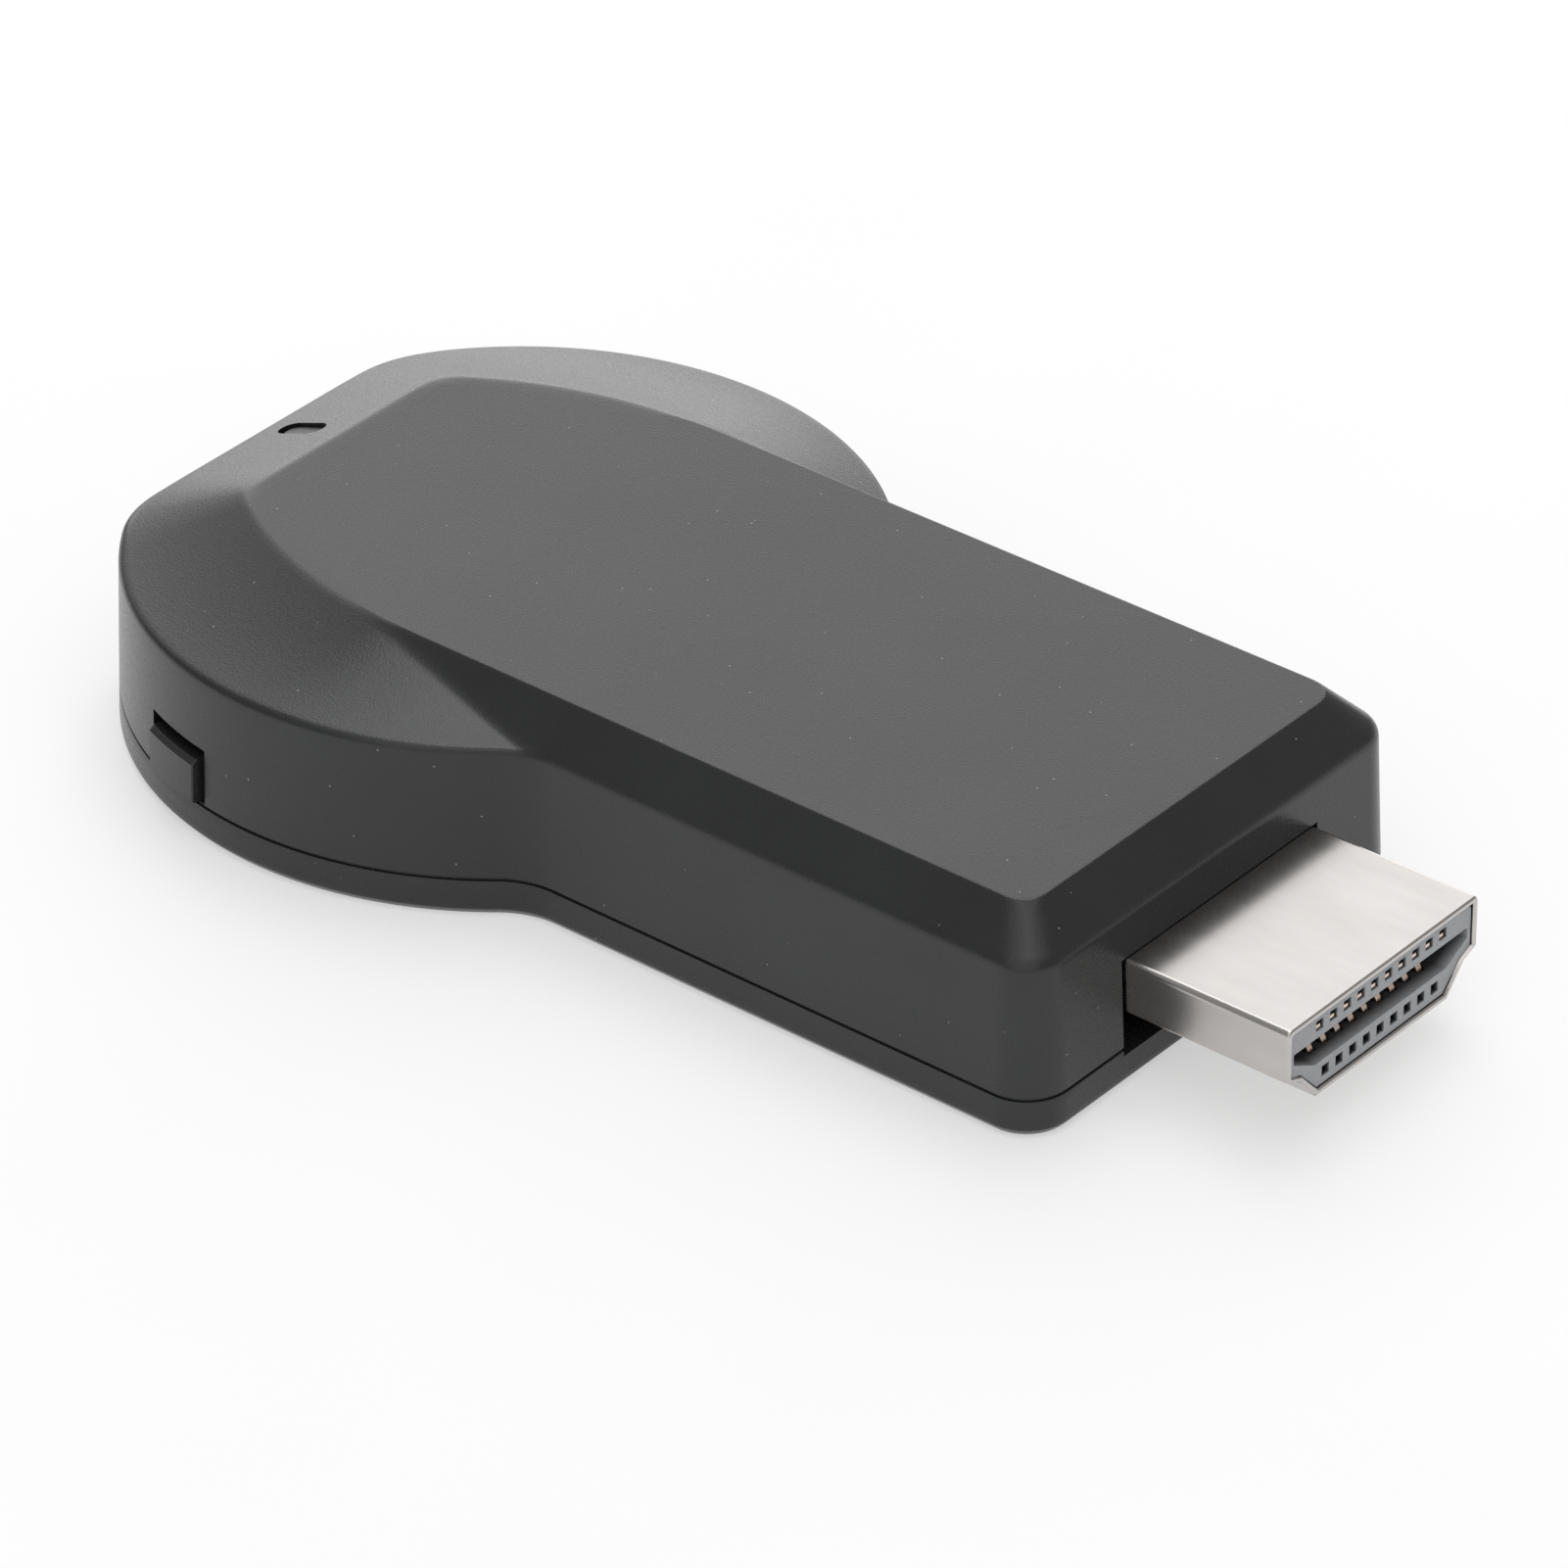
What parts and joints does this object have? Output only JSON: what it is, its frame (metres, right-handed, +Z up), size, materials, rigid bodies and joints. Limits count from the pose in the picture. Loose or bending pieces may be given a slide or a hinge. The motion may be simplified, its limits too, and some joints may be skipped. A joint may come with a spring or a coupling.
{
  "type": "wireless display dongle",
  "caption": "Slim dark dongle with a round head and a square neck, a video plug at its front, a micro power socket, a mode key and a lamp window.",
  "frame": {"origin": "on the underside, midway along the overall length from flat end to plug tip, on the centre line", "axes": "+X along the neck toward the plug, +Y across toward the power socket, +Z up out of the flat top"},
  "size_m": [0.0666, 0.0368, 0.0107],
  "materials": {
    "case_plastic": "fine spark-eroded texture",
    "smoked_plastic": "smooth, smoke tinted",
    "board_laminate": "green solder mask",
    "nickel_plate": "satin nickel",
    "grey_insulator": "moulded",
    "plated_bronze": "thinly plated",
    "black_moulding": "moulded",
    "spring_steel": "bright",
    "soft_pad": "soft and matt",
    "bare_aluminium": "extruded",
    "white_ceramic": "fired ceramic",
    "tan_ceramic": "fired ceramic",
    "dark_ferrite": "pressed ferrite",
    "yellow_moulding": "moulded",
    "lamp_resin": "clear resin"
  },
  "bodies": {
    "case": {"top_shell": "case_plastic", "bottom_shell": "case_plastic", "lamp_window": "smoked_plastic", "main_board": "board_laminate", "plug_shell": "nickel_plate", "plug_insulator": "grey_insulator", "plug_upper_contacts": "plated_bronze", "plug_lower_contacts": "plated_bronze", "power_socket_shell": "nickel_plate", "power_socket_tongue": "black_moulding", "power_socket_contacts": "plated_bronze", "switch_body": "black_moulding", "switch_cover": "spring_steel", "processor": "black_moulding", "thermal_pad": "soft_pad", "heatsink": "bare_aluminium", "memory_chips": "black_moulding", "flash_chip": "black_moulding", "radio_board": "board_laminate", "radio_chip": "black_moulding", "radio_shield": "spring_steel", "antenna": "white_ceramic", "crystals": "spring_steel", "power_inductors": "dark_ferrite", "regulators": "black_moulding", "bulk_capacitors": "yellow_moulding", "small_capacitors": "tan_ceramic", "resistors": "black_moulding", "protection_arrays": "black_moulding", "status_lamp": "lamp_resin"},
    "key": {"mode_key": "case_plastic"},
    "plunger": {"switch_plunger": "black_moulding", "switch_dome": "spring_steel"}
  },
  "joints": [
    {"name": "mode_key_press", "type": "slide", "parent": "case", "child": "key", "axis": [0.2706, 0.9627, 0], "range_m": [0, 0.00025], "stiffness_N_per_m": 3000},
    {"name": "switch_plunger_press", "type": "slide", "parent": "case", "child": "plunger", "axis": [0.2706, 0.9627, 0], "range_m": [0, 0.00025]}
  ],
  "couplings": [
    {"joint": "switch_plunger_press", "follows": "mode_key_press", "ratio": 1}
  ]
}
